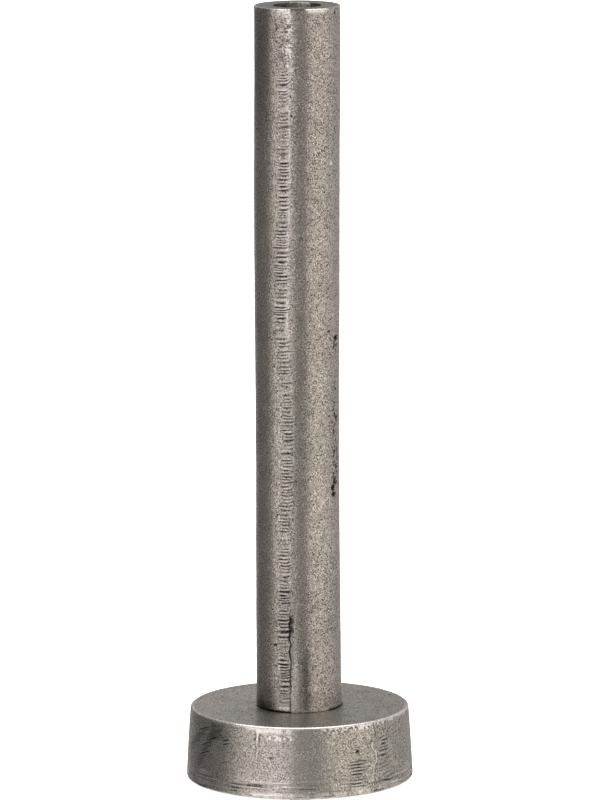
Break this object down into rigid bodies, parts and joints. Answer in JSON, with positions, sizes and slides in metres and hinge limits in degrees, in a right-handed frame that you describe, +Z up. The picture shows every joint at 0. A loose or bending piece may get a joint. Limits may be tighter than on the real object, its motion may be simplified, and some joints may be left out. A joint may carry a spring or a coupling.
{
  "type": "candlestick",
  "caption": "Tall round cast metal candlestick: a thick stem with a bored candle socket in its top, screwed down on a wider dished round base with felt pads.",
  "frame": {"origin": "centre of the footprint, on the surface that the felt pads stand on", "axes": "+Z up along the stem to the candle socket; -Y faces the viewer of the picture, +X is to the viewer's right"},
  "size_m": [0.105, 0.105, 0.3618],
  "materials": {
    "cast_aluminium": "sand-cast, darkened and rubbed back, with worn bright edges",
    "plated_steel": "zinc plated",
    "felt": "pale grey needle felt"
  },
  "bodies": {
    "root": {"stem": "cast_aluminium", "base": "cast_aluminium", "threaded_stud": "plated_steel", "flat_washer": "plated_steel", "spring_washer": "plated_steel", "hex_nut": "plated_steel", "felt_pad_1": "felt", "felt_pad_2": "felt", "felt_pad_3": "felt", "felt_pad_4": "felt"}
  },
  "joints": []
}
